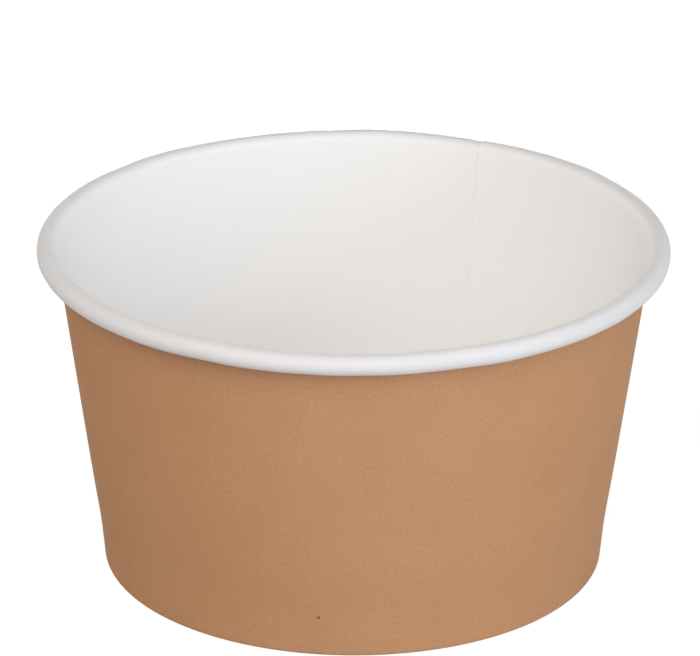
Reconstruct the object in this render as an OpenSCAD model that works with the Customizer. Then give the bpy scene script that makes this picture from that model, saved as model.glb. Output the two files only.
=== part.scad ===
// Paper ice cream tub: a wrapped board wall with a rolled rim, a lapped side seam and a hemmed foot,
// and a recessed board base whose skirt is gripped in the hem.
// Millimetres. The origin is the centre of the foot, on the surface that the tub stands on, with +Z up.

/* [Rim] */
// Outside diameter of the rolled rim
rim_d = 115; // [100:0.5:130]
// Height of the roll
roll_h = 3.5; // [2.8:0.1:4.5]
// Straight stretch across the top of the roll
roll_flat = 0.4; // [0.1:0.1:1]
// Room between the rolled-in edge and the board around it
tuck_gap = 0.1; // [0.05:0.05:0.3]
// Direction in which the rolled-in edge ends, in degrees
tuck_end = 140; // [100:5:200]

/* [Wall] */
// Height of the tub
tub_h = 62; // [45:0.5:110]
// Thickness of the wall's board
board_t = 0.4; // [0.3:0.05:0.5]
// Outside diameter of the foot, where it meets the ground
foot_d = 92.2; // [86:0.1:94]
// Outside diameter of the wall at the top of the hem
hem_d = 93.7; // [92:0.1:96]

/* [Base] */
// Height of the base's upper face, on which the foot of a nested tub stands
base_z = 8.4; // [5:0.1:14]
// Thickness of the base's board
base_t = 0.35; // [0.25:0.05:0.5]
// Outer radius of the bend between the base and its skirt
bend_r = 0.8; // [0.6:0.1:1.6]
// Room between the edge of the hem's infold and the underside of the base
infold_room = 0.9; // [0.6:0.1:2]
// Thickness of the seal on each side of the skirt
seal_gap = 0.03; // [0.02:0.01:0.06]

/* [Seam] */
// Width of the lap, measured round the foot
lap_w = 8; // [4:0.5:12]
// Length over which the outer end climbs onto the inner end, measured round the foot
climb_w = 11; // [7:0.5:16]
// Direction of the inner end's edge from +X, in degrees
seam_angle = 64; // [0:1:359]
// Room between the top of the lap and the underside of the roll
lap_room = 0.2; // [0.1:0.1:1]

/* [Hidden] */

$fn = 180;
arc_step = 10;
board_brown = "#c1946a";
board_white = "#f2f0ec";

rim_r = rim_d / 2;
roll_r = roll_h / 2;
foot_r = foot_d / 2;
hem_h = base_z - base_t;
hem_lean = atan((hem_d - foot_d) / 2 / hem_h);
slot_w = base_t + 2 * seal_gap;
infold_z = hem_h - infold_room;

// Centres of the roll's outer and inner arcs.
roll_out = [rim_r - roll_r, tub_h - roll_r];
roll_in = roll_out - [roll_flat, 0];

// The wall's white face leaves the hem here and runs straight to a tangent of the roll's inner arc.
hem_top = [hem_radius(hem_h, board_t), hem_h];
to_roll = roll_in - hem_top;
wall_lean = atan(to_roll.x / to_roll.y) - asin(roll_r / norm(to_roll));

// The rolled-in edge turns on this arc, clear of the wall on one side and of the top of the roll on the other.
tuck_r = min(
    roll_r + (roll_flat * cos(wall_lean) - board_t - tuck_gap) / (1 + sin(wall_lean)),
    roll_r - (board_t + tuck_gap) / 2
);
tuck_centre = [roll_out.x, tub_h - roll_h + tuck_r];

// The seam's angles, and how far the axis of the climbing stretch is moved. Its lift comes to a little over
// one board at the seam, so that it reaches the outside face of the lap before it gets there.
lap_angle = lap_w / foot_r * 180 / PI;
climb_angle = climb_w / foot_r * 180 / PI;
climb_shift = 1.1 * board_t / sin(climb_angle);
climb_runout = 2;
lap_top = tub_h - roll_h - lap_room;

// The hollow inside the climbing stretch stops where its depth has come down to a twentieth of the board,
// and below the top of the lap, which backs it.
hollow_margin = asin(climb_shift / foot_d + board_t / 20 / climb_shift);
hollow_top = lap_top - 2 * board_t;

// Points on an arc about a centre, or the centre alone where the radius is zero.
function arc(centre, r, from, to) =
    let (steps = max(1, ceil(abs(to - from) / arc_step)))
    r <= 0 ? [centre] : [
        for (i = [0:steps])
            let (a = from + (to - from) * i / steps)
            centre + r * [cos(a), sin(a)]
    ];

function reverse(points) = [for (i = [len(points) - 1:-1:0]) points[i]];

// Radius of a layer of the hem at a height, at a depth square to its outside face.
function hem_radius(z, depth) = foot_r + z * tan(hem_lean) - depth / cos(hem_lean);

// Corner between hem and wall, at a distance from the board's white face.
function hem_corner(off) =
    let (mid = (wall_lean + hem_lean) / 2)
    hem_top + off / cos((wall_lean - hem_lean) / 2) * [cos(mid), -sin(mid)];

// Point on the wall at a height, at a distance from the board's white face.
function wall_point(z, off) =
    [hem_top.x + (z - hem_top.y) * tan(wall_lean) + off / cos(wall_lean), z];

// The board's section at a distance from its white face, from the infold's edge to the rolled-in edge.
function board_face(off) =
    let (
        fold_out = [hem_radius(board_t, board_t), board_t],
        fold_in = [hem_radius(board_t, board_t + slot_w), board_t]
    )
    concat(
        [[hem_radius(infold_z, board_t + slot_w + off), infold_z]],
        arc(fold_in, off, 180 - hem_lean, 270),
        arc(fold_out, off, 270, 360 - hem_lean),
        [hem_corner(off)],
        arc(roll_in, roll_r - off, 180 - wall_lean, 90),
        arc(roll_out, roll_r - off, 90, -90),
        arc(tuck_centre, tuck_r - off, -90, tuck_end - 360)
    );

// The base's section at a distance from its upper face, from the centre to the skirt's lower edge.
function base_face(off) =
    let (
        bend_z = base_z - bend_r,
        bend = [hem_radius(bend_z, board_t + seal_gap + bend_r), bend_z]
    )
    concat(
        [[0, base_z - off]],
        arc(bend, bend_r - off, 90, -hem_lean),
        [[hem_radius(board_t, board_t + seal_gap + off), board_t]]
    );

// The straight part of the wall, from the fold to under the roll, between two distances from its white face.
function wall_strip(off_a, off_b) =
    let (
        side_a = [
            [hem_radius(board_t, board_t - off_a), board_t],
            hem_corner(off_a),
            wall_point(lap_top, off_a)
        ],
        side_b = [
            [hem_radius(board_t, board_t - off_b), board_t],
            hem_corner(off_b),
            wall_point(lap_top, off_b)
        ]
    )
    concat(side_a, reverse(side_b));

// Moves the axis of what climbs, so that it lies on the wall at the far end and rises towards the seam.
module on_climb() {
    far = seam_angle + climb_angle;
    translate(climb_shift * [sin(far), -cos(far), 0])
        children();
}

// A wedge of turned section that starts at an angle from +X.
module turned(start, sweep) {
    rotate([0, 0, start])
        rotate_extrude(angle = sweep)
            children();
}

// The outer end of the board, which climbs off its own circle and then lies flat on the inner end.
module lap() {
    intersection() {
        turned(seam_angle - lap_angle, lap_angle + climb_angle + climb_runout)
            polygon(wall_strip(board_t / 2, 2 * board_t));
        on_climb()
            rotate_extrude()
                polygon(concat(
                    [[0, 0]],
                    [[hem_radius(0, 0), 0], hem_corner(board_t), wall_point(tub_h, board_t)],
                    [[0, tub_h]]
                ));
    }
}

// The hollow that the climbing stretch leaves inside, beside the inner end's edge.
module climb_hollow() {
    intersection() {
        turned(seam_angle, climb_angle - hollow_margin)
            polygon(concat(
                [wall_point(base_z, -lap_w), wall_point(base_z, 1.5 * board_t)],
                [wall_point(hollow_top, 1.5 * board_t), wall_point(hollow_top, -lap_w)]
            ));
        on_climb()
            rotate_extrude()
                polygon(concat(
                    [[0, 0]],
                    [[wall_point(0, 0).x, 0], wall_point(tub_h, 0)],
                    [[0, tub_h]]
                ));
    }
}

module side_wall() {
    color(board_brown)
        difference() {
            union() {
                rotate_extrude()
                    polygon(concat(board_face(0), reverse(board_face(board_t))));
                lap();
            }
            climb_hollow();
        }
}

module base_disc() {
    color(board_white)
        rotate_extrude()
            polygon(concat(base_face(0), reverse(base_face(base_t))));
}

side_wall();
base_disc();
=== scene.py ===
"""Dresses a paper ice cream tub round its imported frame.

The wall is one sheet of board, wrapped so that its ends lap in a side seam, rolled outwards at the rim
and folded inwards at the foot. The base is a disc of board whose skirt is gripped in that fold.
Sizes in the classes are millimetres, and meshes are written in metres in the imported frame.
"""

import logging
from dataclasses import dataclass, replace
from enum import Enum, IntEnum
from math import asin, atan, cos, degrees, hypot, pi, radians, sin, tan

import bpy
import numpy as np
from mathutils import Matrix, Vector

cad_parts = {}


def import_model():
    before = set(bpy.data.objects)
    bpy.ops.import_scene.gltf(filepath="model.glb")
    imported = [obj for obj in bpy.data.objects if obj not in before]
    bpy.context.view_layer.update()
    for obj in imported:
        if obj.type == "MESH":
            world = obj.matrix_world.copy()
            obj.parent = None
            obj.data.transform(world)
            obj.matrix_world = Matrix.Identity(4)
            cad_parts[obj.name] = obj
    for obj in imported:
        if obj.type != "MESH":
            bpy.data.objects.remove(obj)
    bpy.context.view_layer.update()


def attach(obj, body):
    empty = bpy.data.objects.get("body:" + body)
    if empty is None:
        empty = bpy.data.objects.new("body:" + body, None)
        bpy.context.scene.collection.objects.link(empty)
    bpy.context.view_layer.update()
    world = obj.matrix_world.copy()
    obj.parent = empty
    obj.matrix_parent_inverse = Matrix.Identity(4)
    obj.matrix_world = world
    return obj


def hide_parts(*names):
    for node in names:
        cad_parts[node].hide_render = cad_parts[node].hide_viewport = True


LOG = logging.getLogger("tub")
MM = 0.001
IMAGE_WIDTH = 700
SENSOR_WIDTH = 36.0
BOARD_MAP = "board"

# Colour sockets of Blender's Mix node, whose names repeat for each kind of data.
MIX_COLOURS = (6, 7)
MIX_RESULT = 2

Span = tuple[float, float]
Colour = tuple[float, float, float]
Point = tuple[float, float, float]
Wave = tuple[int, float, float]
Pair = tuple[np.ndarray, np.ndarray]
Socket = bpy.types.NodeSocket


class Ply(IntEnum):
    """Material slot of each surface of a board."""

    WHITE = 0
    KRAFT = 1
    EDGE = 2


class WallStretch(IntEnum):
    """Stretches of the wall's section, in the order in which the board runs."""

    INFOLD = 0
    FOLD_IN = 1
    FOLD_FLAT = 2
    FOLD_OUT = 3
    HEM = 4
    CORNER = 5
    CONE = 6
    ROLL_IN = 7
    ROLL_TOP = 8
    ROLL_OUT = 9
    TUCK = 10


class Ramp(Enum):
    """How a number runs from one end of a range to the other."""

    EVEN = "LINEAR"
    SMOOTH = "SMOOTHSTEP"


class RayKind(Enum):
    """Light Path outputs of the rays that show the background instead of being lit by it."""

    CAMERA = "Is Camera Ray"
    GLOSSY = "Is Glossy Ray"
    TRANSMISSION = "Is Transmission Ray"


def ease(value: np.ndarray, low: float, high: float) -> np.ndarray:
    """Rises smoothly from 0 at low to 1 at high, by 3t^2 - 2t^3 of the clipped share t of the way."""
    share = np.clip((value - low) / (high - low), 0.0, 1.0)
    return share * share * (3.0 - 2.0 * share)


def carried(radius: np.ndarray, height: np.ndarray, turn: np.ndarray) -> np.ndarray:
    """Points of sections, a row for each angle: x and y are the radius times the angle's cosine and sine."""
    points = [radius * np.cos(turn)[:, None], radius * np.sin(turn)[:, None], height]
    return np.stack(points, axis=-1).reshape(-1, 3)


def grid_faces(points: tuple[int, int], faces: tuple[int, int]) -> np.ndarray:
    """Faces between neighbours in a grid of points, which closes where there are as many faces as points.

    Args:
        points: Rows and columns of points.
        faces: Rows and columns of faces.

    Returns:
        Four corner numbers for each face, row after row.
    """
    row, column = np.meshgrid(np.arange(faces[0]), np.arange(faces[1]), indexing="ij")
    next_row, next_column = (row + 1) % points[0], (column + 1) % points[1]
    ring = ((row, column), (row, next_column), (next_row, next_column), (next_row, column))
    return np.stack([r * points[1] + c for r, c in ring], axis=-1).reshape(-1, 4)


@dataclass(frozen=True)
class Stretch:
    """A stretch of a board's section.

    Attributes:
        points: Points (radius, height) on the board's first face.
        depth: How each point moves for a millimetre of depth into the board.
    """

    points: np.ndarray
    depth: np.ndarray

    @staticmethod
    def line(ends: Pair, ways: Pair, count: int) -> "Stretch":
        """Points on a straight line, and ways into the board that turn evenly from one end to the other.

        Args:
            ends: First and last point.
            ways: Way into the board at each end.
            count: Number of points; the last end isn't one of them.

        Returns:
            The stretch.
        """
        share = np.linspace(0.0, 1.0, count, endpoint=False)[:, None]
        points = ends[0] + (ends[1] - ends[0]) * share
        return Stretch(points, ways[0] + (ways[1] - ways[0]) * share)

    @staticmethod
    def arc(centre: np.ndarray, radius: float, turn: Span, count: int, inwards: bool) -> "Stretch":
        """Points on a circle, from one direction to another.

        Args:
            centre: Centre of the circle.
            radius: Radius of the first face.
            turn: First and last direction in degrees.
            count: Number of points; the last direction isn't one of them.
            inwards: Whether the board lies on the side of the centre.

        Returns:
            The stretch.
        """
        angle = np.radians(np.linspace(turn[0], turn[1], count, endpoint=False))
        way = np.stack([np.cos(angle), np.sin(angle)], axis=1)
        return Stretch(centre + radius * way, -way if inwards else way)

    @staticmethod
    def end(point: np.ndarray, way: np.ndarray) -> "Stretch":
        """The single point that closes a section."""
        return Stretch(np.array([point]), np.array([way]))

    @staticmethod
    def joined(stretches: list["Stretch"]) -> "Stretch":
        """All stretches as one, in their order."""
        return Stretch(
            np.concatenate([s.points for s in stretches]),
            np.concatenate([s.depth for s in stretches]),
        )

    def run(self) -> np.ndarray:
        """Length along the first face up to each point."""
        step = np.diff(self.points, axis=0)
        return np.concatenate([[0.0], np.cumsum(np.hypot(step[:, 0], step[:, 1]))])


@dataclass(frozen=True)
class TubForm:
    """Sizes of the tub, named as in its solids, and the lines that both boards follow.

    In the solids the foot's fold is sharp inside; fold_r is the radius of its white face here.
    """

    rim_d: float = 115.0
    roll_h: float = 3.5
    roll_flat: float = 0.4
    tuck_gap: float = 0.1
    tuck_end: float = 140.0
    tub_h: float = 62.0
    board_t: float = 0.4
    foot_d: float = 92.2
    hem_d: float = 93.7
    base_z: float = 8.4
    base_t: float = 0.35
    bend_r: float = 0.8
    infold_room: float = 0.9
    seal_gap: float = 0.03
    fold_r: float = 0.15

    @property
    def hem_h(self) -> float:
        """Height of the hem."""
        return self.base_z - self.base_t

    @property
    def hem_lean(self) -> float:
        """Lean of the hem from upright, in radians."""
        return atan((self.hem_d - self.foot_d) / 2 / self.hem_h)

    @property
    def slot_w(self) -> float:
        """Width of the slot that grips the skirt."""
        return self.base_t + 2 * self.seal_gap

    @property
    def roll_r(self) -> float:
        """Outside radius of the roll."""
        return self.roll_h / 2

    @property
    def roll_out(self) -> np.ndarray:
        """Centre of the roll's outer arc."""
        return np.array([self.rim_d / 2 - self.roll_r, self.tub_h - self.roll_r])

    @property
    def roll_in(self) -> np.ndarray:
        """Centre of the roll's inner arc."""
        return self.roll_out - np.array([self.roll_flat, 0.0])

    @property
    def hem_top(self) -> np.ndarray:
        """Point where the white face of the wall leaves the hem."""
        return np.array([self.hem_radius(self.hem_h, self.board_t), self.hem_h])

    @property
    def wall_lean(self) -> float:
        """Lean of the wall from upright, in radians, on its tangent to the roll."""
        way = self.roll_in - self.hem_top
        return atan(way[0] / way[1]) - asin(self.roll_r / hypot(way[0], way[1]))

    @property
    def tuck_r(self) -> float:
        """Radius of the rolled-in edge, clear of the wall on one side and of the roll's top on the other."""
        lean, room = self.wall_lean, self.board_t + self.tuck_gap
        beside_wall = self.roll_r + (self.roll_flat * cos(lean) - room) / (1 + sin(lean))
        return min(beside_wall, self.roll_r - room / 2)

    def hem_radius(self, height: float, depth: float) -> float:
        """Radius, at a height, of a layer that lies at a depth square to the hem's outside face."""
        return self.foot_d / 2 + height * tan(self.hem_lean) - depth / cos(self.hem_lean)


@dataclass(frozen=True)
class Waviness:
    """How far hand and machine leave the tub from a true round: a few slow waves round the axis.

    Each wave is (waves per turn, start in radians, share of the size).

    Attributes:
        wall: Size of the wall's waves.
        foot: Size of the foot's waves.
        rim: Size of the rim's slow waves.
        roll: Size of the rim's ripples.
        wall_fade: Height above the hem and depth below the top between which the wall's waves are full.
        foot_fade: Heights from the hem's top between which the foot's waves go out.
        rim_fade: Depth below the top at which the rim's waves start.
        foot_phase: Turn of the foot's waves against the wall's, in radians.
        rim_phase: The same for the rim's waves.
        waves: The slow waves.
        ripples: The quick waves.
    """

    wall: float = 0.11
    foot: float = 0.05
    rim: float = 0.05
    roll: float = 0.06
    wall_fade: Span = (14.0, 16.0)
    foot_fade: Span = (-2.0, 8.0)
    rim_fade: float = 9.0
    foot_phase: float = 1.7
    rim_phase: float = 3.1
    waves: tuple[Wave, ...] = ((2, 0.4, 0.8), (3, 2.1, 0.6), (5, 4.0, 0.4), (7, 1.3, 0.25))
    ripples: tuple[Wave, ...] = ((9, 0.7, 0.6), (16, 2.9, 0.6), (23, 5.1, 0.4), (37, 1.9, 0.25))

    @staticmethod
    def total(waves: tuple[Wave, ...], turn: np.ndarray, phase: float = 0.0) -> np.ndarray:
        """Sum of sine waves at angles in radians, with a phase that turns one set against another."""
        return sum(share * np.sin(count * turn + start + phase * count) for count, start, share in waves)

    def shift(self, form: TubForm, turn: np.ndarray, height: np.ndarray) -> Pair:
        """Radial and upward shift of the tub's surfaces.

        The wall bellies by one set of waves between the hem and the roll, the foot by a second, and the roll
        rises and falls by a third and by ripples.

        Args:
            form: Sizes of the tub.
            turn: Angles round the axis in radians.
            height: Heights above the ground.

        Returns:
            Shift outwards and shift up.
        """
        roll_z = form.tub_h - form.roll_h
        middle = ease(height, form.hem_h, form.hem_h + self.wall_fade[0])
        middle = middle * (1.0 - ease(height, form.tub_h - self.wall_fade[1], roll_z))
        low = 1.0 - ease(height, form.hem_h + self.foot_fade[0], form.hem_h + self.foot_fade[1])
        high = ease(height, form.tub_h - self.rim_fade, roll_z)
        out = self.wall * middle * self.total(self.waves, turn)
        out = out + self.foot * low * self.total(self.waves, turn, self.foot_phase)
        up = self.rim * self.total(self.waves, turn, self.rim_phase)
        return out, high * (up + self.roll * self.total(self.ripples, turn))


class Graph:
    """A node tree, with short ways to add nodes and to feed their inputs."""

    def __init__(self, tree: bpy.types.NodeTree) -> None:
        """Takes the tree that the nodes go into."""
        self.tree = tree

    def feed(self, target: Socket, value: object) -> None:
        """Links an input to a socket, or sets it to a plain value.

        Args:
            target: The input.
            value: A socket, a number, or a colour or vector.
        """
        if isinstance(value, Socket):
            self.tree.links.new(value, target)
        else:
            target.default_value = value

    def add(self, kind: str, settings: dict[str, object] | None = None, **values: object) -> bpy.types.Node:
        """Adds a node.

        Args:
            kind: Blender's name for the kind of node.
            settings: Values of the node's own properties.
            **values: What feeds its inputs, with _ for a space in their names.

        Returns:
            The node.
        """
        node = self.tree.nodes.new(kind)
        for name, value in (settings or {}).items():
            setattr(node, name, value)
        for name, value in values.items():
            self.feed(node.inputs[name.replace("_", " ")], value)
        return node

    def math(self, operation: str, first: Socket | float, second: Socket | float) -> Socket:
        """Adds a sum, product or other operation on two numbers.

        Args:
            operation: Name of the operation.
            first: A socket or a number.
            second: A socket or a number.

        Returns:
            The socket that holds the result.
        """
        node = self.add("ShaderNodeMath", {"operation": operation})
        self.feed(node.inputs[0], first)
        self.feed(node.inputs[1], second)
        return node.outputs[0]

    def span(self, value: Socket, source: Span, target: Span = (0.0, 1.0), ramp: Ramp = Ramp.EVEN) -> Socket:
        """Adds a clipped map of one range onto another.

        Args:
            value: The number to map.
            source: Low and high end of the range that it comes from.
            target: Low and high end of the range that it goes to.
            ramp: How it runs from one end to the other.

        Returns:
            The socket that holds the mapped number.
        """
        ends = dict(zip(("From_Min", "From_Max", "To_Min", "To_Max"), (*source, *target)))
        node = self.add("ShaderNodeMapRange", {"interpolation_type": ramp.value}, Value=value, **ends)
        return node.outputs["Result"]

    def blend(self, share: Socket, first: Socket | Colour, second: Socket | Colour) -> Socket:
        """Adds a mix of two colours.

        Args:
            share: Share of the second colour.
            first: A socket or a colour.
            second: A socket or a colour.

        Returns:
            The socket that holds the mixed colour.
        """
        node = self.add("ShaderNodeMix", {"data_type": "RGBA"})
        self.feed(node.inputs[0], share)
        for number, value in zip(MIX_COLOURS, (first, second)):
            self.feed(node.inputs[number], value if isinstance(value, Socket) else (*value, 1.0))
        return node.outputs[MIX_RESULT]


@dataclass(frozen=True)
class PaperGrain:
    """The shader group for the make-up of paper, which all boards use: fibres, flecks and cloudiness.

    Attributes:
        name: Name of the group.
        fibre_turns: Directions of the fibres in radians.
        fibre_scale: Streaks along a metre, along and across the fibres and through the board.
        fibre_span: Values of the noise between which a fibre comes in.
        fibre_height: Height of the fibres as a share of the grain's.
        fleck_span: Values of a cell's own number between which a fleck comes in.
        fleck_edge: Distances from a fleck's middle between which it fades, in cells.
    """

    name: str = "paper_grain"
    fibre_turns: Point = (0.35, -0.6, 1.5)
    fibre_scale: Point = (420.0, 4200.0, 420.0)
    fibre_span: Span = (0.58, 0.74)
    fibre_height: float = 0.5
    fleck_span: Span = (0.93, 0.95)
    fleck_edge: Span = (0.03, 0.09)

    def tree(self) -> bpy.types.NodeTree:
        """Builds the group, unless it is there already.

        Its vector runs along the board in metres. Fine noise of a given scale makes the grain, and slow
        noise the clouds that are seen against the light.

        Returns:
            The group's node tree.
        """
        found = bpy.data.node_groups.get(self.name)
        if found:
            return found
        tree = bpy.data.node_groups.new(self.name, "ShaderNodeTree")
        tree.interface.new_socket("Vector", in_out="INPUT", socket_type="NodeSocketVector")
        tree.interface.new_socket("Grain Scale", in_out="INPUT", socket_type="NodeSocketFloat")
        for name in ("Tone", "Fibres", "Flecks", "Clouds", "Height"):
            tree.interface.new_socket(name, in_out="OUTPUT", socket_type="NodeSocketFloat")
        graph = Graph(tree)
        given = graph.add("NodeGroupInput")
        vector, scale = given.outputs["Vector"], given.outputs["Grain Scale"]
        fine = graph.add("ShaderNodeTexNoise", Vector=vector, Scale=scale, Detail=5.0, Roughness=0.8)
        clouds = graph.add("ShaderNodeTexNoise", Vector=vector, Scale=85.0, Detail=3.0, Roughness=0.55)
        fibres = self.fibres(graph, vector)
        raised = graph.math("MULTIPLY", fibres, self.fibre_height)
        graph.add(
            "NodeGroupOutput",
            Tone=fine.outputs[0],
            Fibres=fibres,
            Flecks=self.flecks(graph, vector),
            Clouds=clouds.outputs[0],
            Height=graph.math("ADD", fine.outputs[0], raised),
        )
        return tree

    def fibres(self, graph: Graph, vector: Socket) -> Socket:
        """Adds the mask of the fibres: noise drawn out to streaks, in three directions.

        Args:
            graph: Node tree of the group.
            vector: Place on the board in metres.

        Returns:
            The socket that holds the mask.
        """
        streaks = []
        for angle in self.fibre_turns:
            turned = {"Rotation": (0.0, 0.0, angle), "Scale": self.fibre_scale}
            place = graph.add("ShaderNodeMapping", Vector=vector, **turned).outputs["Vector"]
            noise = graph.add("ShaderNodeTexNoise", Vector=place, Scale=1.0, Detail=2.0, Roughness=0.5)
            streaks.append(graph.span(noise.outputs[0], self.fibre_span, ramp=Ramp.SMOOTH))
        return graph.math("MAXIMUM", graph.math("MAXIMUM", streaks[0], streaks[1]), streaks[2])

    def flecks(self, graph: Graph, vector: Socket) -> Socket:
        """Adds the mask of the flecks: a small round spot in a few of the cells of a pattern.

        Args:
            graph: Node tree of the group.
            vector: Place on the board in metres.

        Returns:
            The socket that holds the mask.
        """
        cells = graph.add("ShaderNodeTexVoronoi", {"feature": "F1"}, Vector=vector, Scale=240.0, Randomness=1.0)
        number = graph.add("ShaderNodeSeparateColor", Color=cells.outputs["Color"])
        rare = graph.span(number.outputs[0], self.fleck_span)
        small = graph.span(cells.outputs["Distance"], self.fleck_edge, (1.0, 0.0), Ramp.SMOOTH)
        return graph.math("MULTIPLY", rare, small)


@dataclass(frozen=True)
class BoardFinish:
    """A face of a board: its colours, its gloss and how much of the paper's make-up shows.

    Attributes:
        name: Name of the material.
        light: Colour of the light part of the grain.
        dark: Colour of its dark part.
        fibre: Colour of single fibres.
        fleck: Colour of the rare flecks.
        roughness: Lowest and highest roughness.
        fibre_share: How far fibres stand out.
        fleck_share: How far flecks stand out.
        cloud_share: How far clouds darken the board.
        grain_scale: Grains along a metre.
        relief: Depth of the grain in millimetres.
        sheen: How strongly it mirrors, 0.5 for a plain film.
        rolled: Darker, cooler grey painted over the roll as shade, if there is one.
        rolled_run: Lengths up the board in millimetres between which that colour comes in.
        speck_at: Place of a single larger speck in millimetres, if there is one.
        speck_r: Its radius in millimetres.
        speck_edge: Shares of the radius between which it fades.
        speck_share: How far it covers the board.
        speck: Its colour.
        tone_span: Values of the fine noise between which the grain goes from dark to light.
        soft_span: Values of the noise between which the roughness changes and clouds come in.
    """

    name: str
    light: Colour
    dark: Colour
    fibre: Colour
    fleck: Colour
    roughness: Span
    fibre_share: float
    fleck_share: float
    cloud_share: float
    grain_scale: float
    relief: float
    sheen: float
    rolled: Colour | None = None
    rolled_run: Span = (0.0, 1.0)
    speck_at: Point | None = None
    speck_r: float = 0.31
    speck_edge: Span = (0.55, 1.3)
    speck_share: float = 0.85
    speck: Colour = (0.20, 0.085, 0.032)
    tone_span: Span = (0.25, 0.75)
    soft_span: Span = (0.3, 0.7)

    def material(self) -> bpy.types.Material:
        """Builds the material.

        Grain, fibres, flecks and clouds set the colour, with the painted shade on the roll and the speck
        laid over them, and the grain also sets gloss and relief.

        Returns:
            The material.
        """
        material = bpy.data.materials.new(self.name)
        material.use_nodes = True
        graph = Graph(material.node_tree)
        shader = material.node_tree.nodes["Principled BSDF"]
        shader.inputs["Specular IOR Level"].default_value = self.sheen

        place = graph.add("ShaderNodeUVMap", {"uv_map": BOARD_MAP}).outputs["UV"]
        group = {"node_tree": PaperGrain().tree()}
        grain = graph.add("ShaderNodeGroup", group, Vector=place, Grain_Scale=self.grain_scale)

        tone = graph.span(grain.outputs["Tone"], self.tone_span)
        colour = graph.blend(tone, self.dark, self.light)
        fibre = graph.math("MULTIPLY", grain.outputs["Fibres"], self.fibre_share)
        colour = graph.blend(fibre, colour, self.fibre)
        fleck = graph.math("MULTIPLY", grain.outputs["Flecks"], self.fleck_share)
        colour = graph.blend(fleck, colour, self.fleck)
        cloud = graph.span(grain.outputs["Clouds"], self.soft_span, (0.0, self.cloud_share))
        colour = graph.blend(cloud, colour, self.dark)
        if self.rolled:
            # Painted shade: mask along the board over which the roll's darker, cooler grey covers the white.
            split = graph.add("ShaderNodeSeparateXYZ", Vector=place)
            low, high = (length * MM for length in self.rolled_run)
            stretch = graph.span(split.outputs["Y"], (low, high), ramp=Ramp.SMOOTH)
            colour = graph.blend(stretch, colour, self.rolled)
        if self.speck_at:
            colour = graph.blend(self.speck_mask(graph), colour, self.speck)
        graph.feed(shader.inputs["Base Color"], colour)
        gloss = graph.span(grain.outputs["Tone"], self.soft_span, self.roughness)
        graph.feed(shader.inputs["Roughness"], gloss)

        height, depth = grain.outputs["Height"], self.relief * MM
        bump = graph.add("ShaderNodeBump", Strength=1.0, Distance=depth, Height=height)
        graph.feed(shader.inputs["Normal"], bump.outputs["Normal"])
        return material

    def speck_mask(self, graph: Graph) -> Socket:
        """Adds the mask of the one larger speck in the board, a round spot about a point of the piece.

        Args:
            graph: Node tree of the material.

        Returns:
            The socket that holds the mask.
        """
        where = graph.add("ShaderNodeTexCoord")
        away = graph.add("ShaderNodeVectorMath", {"operation": "DISTANCE"})
        graph.feed(away.inputs[0], where.outputs["Object"])
        graph.feed(away.inputs[1], tuple(c * MM for c in self.speck_at))
        reach = self.speck_r * MM
        edge = (reach * self.speck_edge[0], reach * self.speck_edge[1])
        return graph.span(away.outputs["Value"], edge, (self.speck_share, 0.0), Ramp.SMOOTH)


KRAFT = BoardFinish(
    name="kraft_face",
    light=(0.602, 0.325, 0.175),
    dark=(0.449, 0.229, 0.117),
    fibre=(0.612, 0.341, 0.193),
    fleck=(0.651, 0.412, 0.255),
    roughness=(0.46, 0.56),
    fibre_share=0.2,
    fleck_share=0.35,
    cloud_share=0.28,
    grain_scale=1500.0,
    relief=0.001,
    sheen=0.005,
    speck_at=(-5.97, -46.44, 7.83),
)
WHITE = BoardFinish(
    name="white_face",
    light=(0.887, 0.874, 0.866),
    dark=(0.864, 0.847, 0.837),
    fibre=(0.889, 0.880, 0.874),
    fleck=(0.70, 0.67, 0.64),
    roughness=(0.38, 0.46),
    fibre_share=0.10,
    fleck_share=0.08,
    cloud_share=0.20,
    grain_scale=900.0,
    relief=0.006,
    sheen=0.1,
)
# Painted shade: a darker, cooler grey laid on the roll's white face in place of the roll's lower light.
PAINTED_ROLL_SHADE: Colour = (0.697, 0.676, 0.678)
CUT_EDGE = BoardFinish(
    name="cut_edge",
    light=(0.74, 0.66, 0.56),
    dark=(0.56, 0.44, 0.32),
    fibre=(0.80, 0.74, 0.66),
    fleck=(0.40, 0.28, 0.18),
    roughness=(0.75, 0.9),
    fibre_share=0.5,
    fleck_share=0.4,
    cloud_share=0.2,
    grain_scale=3800.0,
    relief=0.03,
    sheen=0.2,
)


@dataclass(frozen=True)
class Shell:
    """A board's mesh before it goes to Blender.

    Attributes:
        points: Corners in millimetres.
        faces: Corner numbers of each face.
        plies: Material slot of each face.
        run: Place of each face's corners on the flat board in millimetres, face after face.
    """

    points: np.ndarray
    faces: list[np.ndarray]
    plies: np.ndarray
    run: np.ndarray

    def piece(self, name: str, materials: list[bpy.types.Material], crease: float = 40.0) -> bpy.types.Object:
        """Makes the object, at the origin, smooth but for edges sharper than the crease.

        Args:
            name: Name of the piece.
            materials: Materials in the order of the slots.
            crease: Angle in degrees from which an edge stays sharp.

        Returns:
            The object, linked to the scene.
        """
        mesh = bpy.data.meshes.new(name)
        rings = [row for block in self.faces for row in block.tolist()]
        mesh.from_pydata((self.points * MM).tolist(), [], rings)
        for material in materials:
            mesh.materials.append(material)
        mesh.polygons.foreach_set("material_index", self.plies.astype(np.int32))
        mesh.polygons.foreach_set("use_smooth", np.ones(len(self.plies), dtype=bool))
        layer = mesh.uv_layers.new(name=BOARD_MAP)
        layer.uv.foreach_set("vector", (self.run * MM).astype(np.float32).ravel())
        mesh.update()
        mesh.set_sharp_from_angle(angle=radians(crease))
        piece = bpy.data.objects.new(name, mesh)
        bpy.context.scene.collection.objects.link(piece)
        return piece


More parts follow.
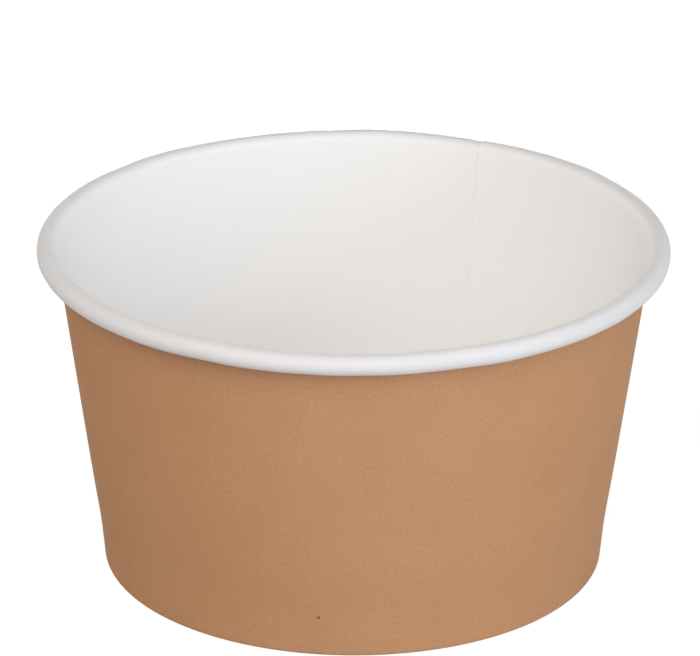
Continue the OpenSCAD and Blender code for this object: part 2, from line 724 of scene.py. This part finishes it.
@dataclass(frozen=True)
class SideWall:
    """The tub's wall: one sheet, wrapped, lapped, rolled and folded.

    Attributes:
        form: Sizes of the tub.
        waviness: How far it is from a true round.
        seam_angle: Direction of the inner end's edge from +X, in degrees.
        lap_w: Width of the lap round the foot.
        climb_w: Width round the foot over which the outer end climbs onto the inner end.
        seal: Thickness of the seal between the ends.
        step: Thickness of the inner end at its skived edge.
        skive_w: Width over which it gains its full thickness.
        round_w: Width of the rounding along its edge.
        round_drop: Depth of that rounding as a share of the step.
        hem_press: Share of its thickness that each layer of the lap keeps in the hem.
        hem_pressed: Share of the hem's height up to which it is pressed like that.
        hem_free: Length of board above, over which the pressing ends.
        tuck_press: Share of its thickness that each layer keeps in the roll's tuck.
        tuck_run: Length of board before the tuck, over which that pressing starts.
        press_out: Angle past the lap over which all pressing ends, in degrees.
        ridge: Height of the ridge that the base's edge presses into the wall.
        ridge_h: Height on the wall over which it falls off.
        ridge_inside: Share of it that shows on the white face.
        corner_run: Length of board over which the corner above the hem turns into the wall.
        roll_shade_run: Length of board on the roll over which the white turns cooler.
        counts: Points on each stretch of the section.
        wide_step: Angle between the sheet's stations in degrees.
        fine_step: The same near the seam.
        fine_reach: How far that goes past the inner end, in laps, and before the seam, in climbs.
        round_rows: Stations on the rounding.
    """

    form: TubForm
    waviness: Waviness
    seam_angle: float = 64.0
    lap_w: float = 8.0
    climb_w: float = 11.0
    seal: float = 0.01
    step: float = 0.19
    skive_w: float = 5.0
    round_w: float = 0.3
    round_drop: float = 0.6
    hem_press: float = 0.5
    hem_pressed: float = 0.25
    hem_free: float = 5.0
    tuck_press: float = 0.6
    tuck_run: float = 3.0
    press_out: float = 5.0
    ridge: float = 0.03
    ridge_h: float = 0.7
    ridge_inside: float = 0.4
    corner_run: float = 3.0
    # roll_shade_run: Length of board on the roll over which the painted shade comes in.
    roll_shade_run: float = 2.6
    counts: tuple[int, ...] = (6, 6, 2, 6, 12, 6, 26, 11, 2, 22, 12)
    wide_step: float = 1.25
    fine_step: float = 0.55
    fine_reach: Span = (2.0, 1.2)
    round_rows: int = 4

    def section(self) -> Stretch:
        """The white face's section, from the infold's edge round the fold, up the wall and into the roll.

        Straight stretches follow the hem's and the wall's lean, the fold turns on two arcs about the
        slot's corners, and the roll on an inner, an outer and a tucked-in arc, as in the solids.

        Returns:
            The section and the way into the board at each point.
        """
        form = self.form
        lean, wall = form.hem_lean, form.wall_lean
        lean_d, wall_d = degrees(lean), degrees(wall)
        down = np.array([0.0, -1.0])
        infold_way = np.array([-cos(lean), sin(lean)])
        hem_way = -infold_way
        wall_way = np.array([cos(wall), -sin(wall)])
        corner_way = (hem_way + wall_way) / (1.0 + hem_way @ wall_way)
        cut_way = np.array([-1.0 / cos(lean), 0.0])

        infold_z = form.hem_h - form.infold_room
        infold_depth = form.board_t + form.slot_w
        infold_top = np.array([form.hem_radius(infold_z, infold_depth), infold_z])
        level = form.board_t + form.fold_r
        fold_in = np.array([form.hem_radius(level, infold_depth - form.fold_r), level])
        fold_out = np.array([form.hem_radius(level, form.board_t + form.fold_r), level])
        infold_foot, hem_foot = fold_in + form.fold_r * infold_way, fold_out + form.fold_r * hem_way
        flat = (fold_in + form.fold_r * down, fold_out + form.fold_r * down)

        cone_foot = form.hem_top + self.corner_run * np.array([sin(wall), cos(wall)])
        cone_top = form.roll_in - form.roll_r * wall_way
        roll_top = (form.roll_in - form.roll_r * down, form.roll_out - form.roll_r * down)
        tuck = np.array([form.roll_out[0], form.tub_h - form.roll_h + form.tuck_r])
        last = radians(form.tuck_end)
        last_way = np.array([cos(last), sin(last)])

        count, part = self.counts, WallStretch
        return Stretch.joined([
            Stretch.line((infold_top, infold_foot), (cut_way, infold_way), count[part.INFOLD]),
            Stretch.arc(fold_in, form.fold_r, (180.0 - lean_d, 270.0), count[part.FOLD_IN], False),
            Stretch.line(flat, (down, down), count[part.FOLD_FLAT]),
            Stretch.arc(fold_out, form.fold_r, (270.0, 360.0 - lean_d), count[part.FOLD_OUT], False),
            Stretch.line((hem_foot, form.hem_top), (hem_way, corner_way), count[part.HEM]),
            Stretch.line((form.hem_top, cone_foot), (corner_way, wall_way), count[part.CORNER]),
            Stretch.line((cone_foot, cone_top), (wall_way, wall_way), count[part.CONE]),
            Stretch.arc(form.roll_in, form.roll_r, (180.0 - wall_d, 90.0), count[part.ROLL_IN], True),
            Stretch.line(roll_top, (down, down), count[part.ROLL_TOP]),
            Stretch.arc(form.roll_out, form.roll_r, (90.0, -90.0), count[part.ROLL_OUT], True),
            Stretch.arc(tuck, form.tuck_r, (-90.0, form.tuck_end - 360.0), count[part.TUCK], True),
            Stretch.end(tuck + form.tuck_r * last_way, -last_way),
        ])

    def angle(self, width: float) -> float:
        """Angle in degrees that a width takes round the foot."""
        return degrees(width * 2 / self.form.foot_d)

    def width(self, angle: np.ndarray) -> np.ndarray:
        """Widths that angles in degrees take round the foot, as a column."""
        return np.radians(angle)[:, None] * self.form.foot_d / 2

    def stations(self) -> np.ndarray:
        """Places of the sheet's sections, closer together near the seam.

        Returns:
            Angles along the sheet from its inner end in degrees.
        """
        lap, climb, bend = (self.angle(width) for width in (self.lap_w, self.climb_w, self.round_w))
        past, before = self.fine_reach[0] * lap, self.fine_reach[1] * climb
        marks = (0.0, bend, past, 360.0 - before, 360.0, 360.0 + lap)
        steps = (bend / self.round_rows, self.fine_step, self.wide_step, self.fine_step, self.fine_step)
        runs = [
            np.linspace(low, high, round((high - low) / step), endpoint=False)
            for low, high, step in zip(marks, marks[1:], steps)
        ]
        return np.concatenate([*runs, [marks[-1]]])

    def skived(self, angle: np.ndarray, thick: np.ndarray) -> np.ndarray:
        """Thickness of the inner end, which rises from the step at its edge to its full one over the skive."""
        return self.step + (thick - self.step) * ease(self.width(angle), 0.0, self.skive_w)

    def layers(self, along: np.ndarray, section: Stretch) -> Pair:
        """Depth of the sheet's two faces below the tub's own white face.

        Away from the seam the sheet lies at 0 and is one board thick. The inner end is skived to a thin,
        rounded edge. The outer end climbs by the inner end's thickness and lies on it, and both ends are
        pressed thinner in the hem and where the roll tucks in.

        Args:
            along: Angles along the sheet in degrees.
            section: The sheet's section.

        Returns:
            Depth of the white face and of the kraft face, one row for each angle.
        """
        lap, climb = self.angle(self.lap_w), self.angle(self.climb_w)
        inner_end = 1.0 - ease(along, lap, lap + self.press_out)[:, None]
        outer_end = ease(along, 360.0 - climb, 360.0)[:, None]
        run = section.run()
        starts = np.cumsum((0, *self.counts))
        hem, corner, tuck = run[starts[[WallStretch.HEM, WallStretch.CORNER, WallStretch.TUCK]]]
        free = hem + self.hem_pressed * (corner - hem)
        keep = self.hem_press + (1.0 - self.hem_press) * ease(run, free, free + self.hem_free)
        keep = keep + (self.tuck_press - 1.0) * ease(run, tuck - self.tuck_run, tuck)
        pressed = self.form.board_t * (1.0 - np.maximum(inner_end, outer_end) * (1.0 - keep))

        first = along[:, None] < 180.0
        below = self.skived(np.clip(along - 360.0, 0.0, None), keep * self.form.board_t)
        thick = np.where(first, self.skived(along, pressed), pressed)
        edge = 1.0 - ease(self.width(along), 0.0, self.round_w)
        white = np.where(first, self.round_drop * self.step * edge, outer_end * (below + self.seal))
        return white, np.where(first, thick, white + thick)

    def ridge_shift(self, radius: np.ndarray, height: np.ndarray) -> np.ndarray:
        """Shift outwards by the ridge over the base's edge, a bell curve of the height about the hem's top.

        Args:
            radius: Radius of each point of the loop of both faces, one row for each angle.
            height: Height of each point.

        Returns:
            The shift, which is 0 on the infold.
        """
        outer = radius > self.form.hem_radius(0.0, 2 * self.form.board_t)
        bell = np.exp(-(((height - self.form.hem_h) / self.ridge_h) ** 2)) * outer
        return self.ridge * bell * np.repeat([self.ridge_inside, 1.0], radius.shape[1] // 2)

    def shell(self) -> Shell:
        """The sheet as a closed shell.

        At each angle along the sheet the section is moved into the board by the depth of each face, and the
        loop of both faces is carried round the axis. The two ends are closed by strips between the faces.

        Returns:
            The mesh.
        """
        form = self.form
        section = self.section()
        along = self.stations()
        turn = np.radians(self.seam_angle - along)
        white, kraft = self.layers(along, section)
        depth = np.concatenate([white, kraft[:, ::-1]], axis=1)
        loop = np.concatenate([section.points, section.points[::-1]])
        way = np.concatenate([section.depth, section.depth[::-1]])
        flat = loop[None] + depth[..., None] * way[None]
        radius, height = flat[..., 0], flat[..., 1]
        out, up = self.waviness.shift(form, turn[:, None], height)
        out = out + self.ridge_shift(radius, height)
        points = carried(radius + out, np.maximum(height + up, 0.0), turn)

        count, rows = len(section.points), len(along)
        size = 2 * count
        step = np.arange(count - 1)
        near_end = np.stack([step, size - 1 - step, size - 2 - step, step + 1], axis=-1)
        far_end = near_end[:, ::-1] + (rows - 1) * size
        faces = np.concatenate([grid_faces((rows, size), (rows - 1, size)), near_end, far_end])
        ply = np.repeat([Ply.WHITE, Ply.KRAFT], count)
        ply[[count - 1, size - 1]] = Ply.EDGE
        ends = np.repeat([Ply.WHITE, Ply.EDGE], len(near_end))
        plies = np.concatenate([np.tile(ply, rows - 1), ends])

        across = np.radians(along) * (form.rim_d + form.foot_d) / 4
        run = np.concatenate([section.run(), section.run()[::-1]])
        place = np.stack(np.broadcast_arrays(across[:, None], run[None] + depth), axis=-1).reshape(-1, 2)
        return Shell(points, [faces], plies, place[faces].reshape(-1, 2))

    def dress(self) -> list[bpy.types.Material]:
        """Makes the materials of the sheet, with a darker, cooler shade painted on the white over the roll.

        Returns:
            The materials in the order of the slots.
        """
        section = self.section()
        start = section.run()[section.points[:, 1] > self.form.roll_out[1]][0]
        # Painted shade: the roll's white face gets a darker, cooler grey from where the roll begins.
        white = replace(WHITE, rolled=PAINTED_ROLL_SHADE, rolled_run=(start, start + self.roll_shade_run))
        return [face.material() for face in (white, KRAFT, CUT_EDGE)]

    def build(self) -> bpy.types.Object:
        """Makes the wall, dresses it and sets it on the frame in place of its solid.

        Returns:
            The piece.
        """
        piece = self.shell().piece("tub_wall", self.dress())
        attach(piece, "root")
        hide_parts("side_wall")
        return piece


@dataclass(frozen=True)
class BaseDisc:
    """The tub's base: a disc with a turned-down skirt.

    Attributes:
        form: Sizes of the tub.
        waviness: How far the foot is from a true round.
        sag: How far the middle of the disc hangs.
        edge_depth: Depth inside the foot of the circle on which the disc doesn't hang.
        wavy_w: Width inside that circle over which the foot's waviness comes in.
        hub_r: Radius of the innermost ring of points.
        counts: Points on the disc, on the bend and on the skirt.
        spokes: Number of stations round the axis.
    """

    form: TubForm
    waviness: Waviness
    sag: float = 0.25
    edge_depth: float = 2.0
    wavy_w: float = 12.0
    hub_r: float = 2.0
    counts: tuple[int, int, int] = (18, 8, 7)
    spokes: int = 288

    def section(self) -> Stretch:
        """The upper face's section, from near the centre over the bend to the skirt's lower edge.

        The disc is level, the bend is an arc about a point inside the hem, and the skirt follows the hem's
        lean.

        Returns:
            The section and the way into the board at each point.
        """
        form = self.form
        lean = form.hem_lean
        bend_z, foot_z = form.base_z - form.bend_r, form.board_t + form.fold_r
        bend = np.array([form.hem_radius(bend_z, form.board_t + form.seal_gap + form.bend_r), bend_z])
        foot = np.array([form.hem_radius(foot_z, form.board_t + form.seal_gap), foot_z])
        hub = np.array([self.hub_r, form.base_z])
        down, hem_way = np.array([0.0, -1.0]), np.array([cos(lean), -sin(lean)])
        cut_way = np.array([-1.0 / cos(lean), 0.0])
        disc, turn, skirt = self.counts
        return Stretch.joined([
            Stretch.line((hub, bend - form.bend_r * down), (down, down), disc),
            Stretch.arc(bend, form.bend_r, (90.0, -degrees(lean)), turn, True),
            Stretch.line((bend + form.bend_r * hem_way, foot), (-hem_way, cut_way), skirt),
            Stretch.end(foot, cut_way),
        ])

    def shell(self) -> Shell:
        """The disc as a closed shell: the loop of both faces turned about the axis, with a fan at each pole.

        The disc hangs by a parabola of the radius, which is level at the pole and 0 at the edge.

        Returns:
            The mesh.
        """
        form = self.form
        section = self.section()
        count = len(section.points)
        turn = np.linspace(0.0, 2 * pi, self.spokes, endpoint=False)
        loop = np.concatenate([section.points, (section.points + form.base_t * section.depth)[::-1]])
        size = len(loop)
        radius, height = (np.broadcast_to(row, (self.spokes, size)) for row in loop.T)
        edge = form.hem_radius(form.base_z, self.edge_depth)
        height = height - self.sag * (1.0 - np.clip(radius / edge, 0.0, 1.0) ** 2)
        out, _ = self.waviness.shift(form, turn[:, None], height)
        radius = radius + out * ease(radius, edge - self.wavy_w, edge)
        pole_z = form.base_z - self.sag
        poles = np.array([[0.0, 0.0, pole_z], [0.0, 0.0, pole_z - form.base_t]])
        points = np.concatenate([carried(radius, height, turn), poles])

        sides = grid_faces((self.spokes, size), (self.spokes, size - 1))
        first = np.arange(self.spokes)
        after = (first + 1) % self.spokes
        pole = np.full(self.spokes, len(points) - 2)
        fan_top = np.stack([pole, first * size, after * size], axis=-1)
        fan_under = np.stack([pole + 1, after * size + size - 1, first * size + size - 1], axis=-1)
        faces = [sides, fan_top, fan_under]
        ply = np.full(size - 1, Ply.WHITE)
        ply[count:] = Ply.KRAFT
        ply[count - 1] = Ply.EDGE
        fans = np.repeat([Ply.WHITE, Ply.KRAFT], self.spokes)
        plies = np.concatenate([np.tile(ply, self.spokes), fans])
        run = np.concatenate([points[block, :2].reshape(-1, 2) for block in faces])
        return Shell(points, faces, plies, run)

    def dress(self) -> list[bpy.types.Material]:
        """Makes the disc's materials in the order of the slots: white on both faces, and a cut edge."""
        upper, under = replace(WHITE, name="white_base"), replace(WHITE, name="white_under")
        return [face.material() for face in (upper, under, replace(CUT_EDGE, name="base_edge"))]

    def build(self) -> bpy.types.Object:
        """Makes the base, dresses it and sets it on the frame in place of its solid.

        Returns:
            The piece.
        """
        piece = self.shell().piece("tub_base", self.dress())
        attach(piece, "root")
        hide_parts("base_disc")
        return piece


@dataclass(frozen=True)
class Softbox:
    """A flat lamp that faces a point.

    Attributes:
        name: Name of the lamp.
        place: Its centre in metres.
        size: Its width and height in metres.
        power: Its power in watts.
        colour: Colour of its light.
        aim: The point that it faces, in metres.
    """

    name: str
    place: Point
    size: Span
    power: float
    colour: Colour = (1.0, 1.0, 1.0)
    aim: Point = (0.0, 0.0, 0.03)

    def build(self) -> None:
        """Makes the lamp."""
        data = bpy.data.lights.new(self.name, "AREA")
        data.shape = "RECTANGLE"
        data.size, data.size_y = self.size
        data.energy = self.power
        data.color = self.colour
        lamp = bpy.data.objects.new(self.name, data)
        lamp.visible_camera = False
        lamp.location = self.place
        way = Vector(self.aim) - Vector(self.place)
        lamp.rotation_mode = "QUATERNION"
        lamp.rotation_quaternion = way.to_track_quat("-Z", "Y")
        bpy.context.scene.collection.objects.link(lamp)


@dataclass(frozen=True)
class Studio:
    """A pale floor, soft lamps and an even surround.

    Attributes:
        surround: Strength of the surround's light on the object.
        floor_side: Side of the floor in metres.
        floor_tone: Grey of its paper, on which the shadow falls.
        floor_glow: Strength of its own light on the object and where it is seen.
        lamps: The lamps.
    """

    surround: float = 0.418
    floor_side: float = 8.0
    floor_tone: float = 0.30
    floor_glow: Span = (0.26, 0.84)
    lamps: tuple[Softbox, ...] = (
        Softbox("lamp_front", (0.0, -0.36, 0.30), (0.30, 0.30), 0.83),
        Softbox("lamp_left", (-0.44, -0.25, 0.55), (0.50, 0.50), 1.275, (1.0, 0.917, 0.774)),
        Softbox("lamp_right", (0.62, -0.42, 0.19), (0.40, 0.40), 2.386, (0.803, 0.910, 1.0)),
        Softbox("lamp_back", (0.0, 0.60, 0.03), (0.12, 0.05), 1.60),
    )

    @staticmethod
    def seen(graph: Graph) -> Socket:
        """Adds the mask of the rays that show the background.

        Args:
            graph: Node tree of the floor or the surround.

        Returns:
            The socket, 1 for camera, glossy and transmission rays and 0 for others.
        """
        path = graph.add("ShaderNodeLightPath")
        kinds = [path.outputs[kind.value] for kind in RayKind]
        return graph.math("MAXIMUM", graph.math("MAXIMUM", kinds[0], kinds[1]), kinds[2])

    def build_world(self) -> None:
        """Makes the surround, which is white where it is seen and dimmer as a light."""
        world = bpy.data.worlds.new("surround")
        bpy.context.scene.world = world
        world.use_nodes = True
        graph = Graph(world.node_tree)
        sky = world.node_tree.nodes["Background"]
        graph.feed(sky.inputs["Color"], (1.0, 1.0, 1.0, 1.0))
        strength = graph.span(self.seen(graph), (0.0, 1.0), (self.surround, 1.0))
        graph.feed(sky.inputs["Strength"], strength)

    def floor_paper(self) -> bpy.types.Material:
        """Makes the floor's material: white where it is seen, with a soft shadow, and clear from below.

        Returns:
            The material.
        """
        material = bpy.data.materials.new("floor_paper")
        material.use_nodes = True
        tree = material.node_tree
        tree.nodes.remove(tree.nodes["Principled BSDF"])
        graph = Graph(tree)
        tone = self.floor_tone
        paper = graph.add("ShaderNodeBsdfDiffuse", Color=(tone, tone, tone, 1.0))
        strength = graph.span(self.seen(graph), (0.0, 1.0), self.floor_glow)
        glow = graph.add("ShaderNodeEmission", Color=(1.0, 1.0, 1.0, 1.0), Strength=strength)
        lit = graph.add("ShaderNodeAddShader")
        graph.feed(lit.inputs[0], paper.outputs[0])
        graph.feed(lit.inputs[1], glow.outputs[0])
        side = graph.add("ShaderNodeNewGeometry")
        clear = graph.add("ShaderNodeBsdfTransparent")
        under = graph.add("ShaderNodeMixShader")
        for socket, source in zip(under.inputs, (side.outputs["Backfacing"], lit.outputs[0], clear.outputs[0])):
            graph.feed(socket, source)
        graph.feed(tree.nodes["Material Output"].inputs["Surface"], under.outputs[0])
        return material

    def build_floor(self) -> None:
        """Makes the floor, a square about the origin, as part of the stage."""
        half = self.floor_side / 2
        ring = [(-half, -half, 0.0), (half, -half, 0.0), (half, half, 0.0), (-half, half, 0.0)]
        mesh = bpy.data.meshes.new("floor")
        mesh.from_pydata(ring, [], [(0, 1, 2, 3)])
        mesh.materials.append(self.floor_paper())
        floor = bpy.data.objects.new("floor", mesh)
        bpy.context.scene.collection.objects.link(floor)

    def build(self) -> None:
        """Makes the surround, the floor and the lamps."""
        self.build_world()
        self.build_floor()
        for lamp in self.lamps:
            lamp.build()
            LOG.info("lamp %s", lamp.name)


@dataclass(frozen=True)
class PhotoCamera:
    """The camera at the photograph's viewing angle.

    Attributes:
        rise: Angle above the horizon in degrees.
        roll: Turn about the view in degrees.
        away: Distance from the point that it looks at, in millimetres.
        aim: That point in millimetres.
        focal: Focal length in pixels of the photograph.
        reach: Nearest and farthest distance that it sees, in metres.
    """

    rise: float = 22.672
    roll: float = 0.240
    away: float = 849.73
    aim: Point = (-0.616, 0.0, 43.896)
    focal: float = 4642.6
    reach: Span = (0.01, 50.0)

    def build(self) -> None:
        """Makes the camera and makes it the scene's own."""
        data = bpy.data.cameras.new("photo_camera")
        data.sensor_width = SENSOR_WIDTH
        data.lens = self.focal * SENSOR_WIDTH / IMAGE_WIDTH
        data.clip_start, data.clip_end = self.reach
        rise, roll = radians(self.rise), radians(self.roll)
        back = Vector((0.0, -cos(rise), sin(rise)))
        level = Vector((1.0, 0.0, 0.0))
        upright = level.cross(-back)
        right = cos(roll) * level + sin(roll) * upright
        up = cos(roll) * upright - sin(roll) * level
        turn = Matrix((right, up, back)).transposed().to_4x4()
        place = (Vector(self.aim) + self.away * back) * MM
        camera = bpy.data.objects.new("photo_camera", data)
        camera.matrix_world = Matrix.Translation(place) @ turn
        bpy.context.scene.collection.objects.link(camera)
        bpy.context.scene.camera = camera


def main() -> None:
    """Loads the frame, builds the camera, the studio and the tub's two boards."""
    logging.basicConfig(level=logging.INFO, format="%(name)s: %(message)s")
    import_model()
    bpy.context.scene.view_settings.view_transform = "Standard"
    PhotoCamera().build()
    Studio().build()
    form, waviness = TubForm(), Waviness()
    for part in (SideWall(form, waviness), BaseDisc(form, waviness)):
        piece = part.build()
        LOG.info("piece %s with %d faces", piece.name, len(piece.data.polygons))


if __name__ == "__main__":
    main()
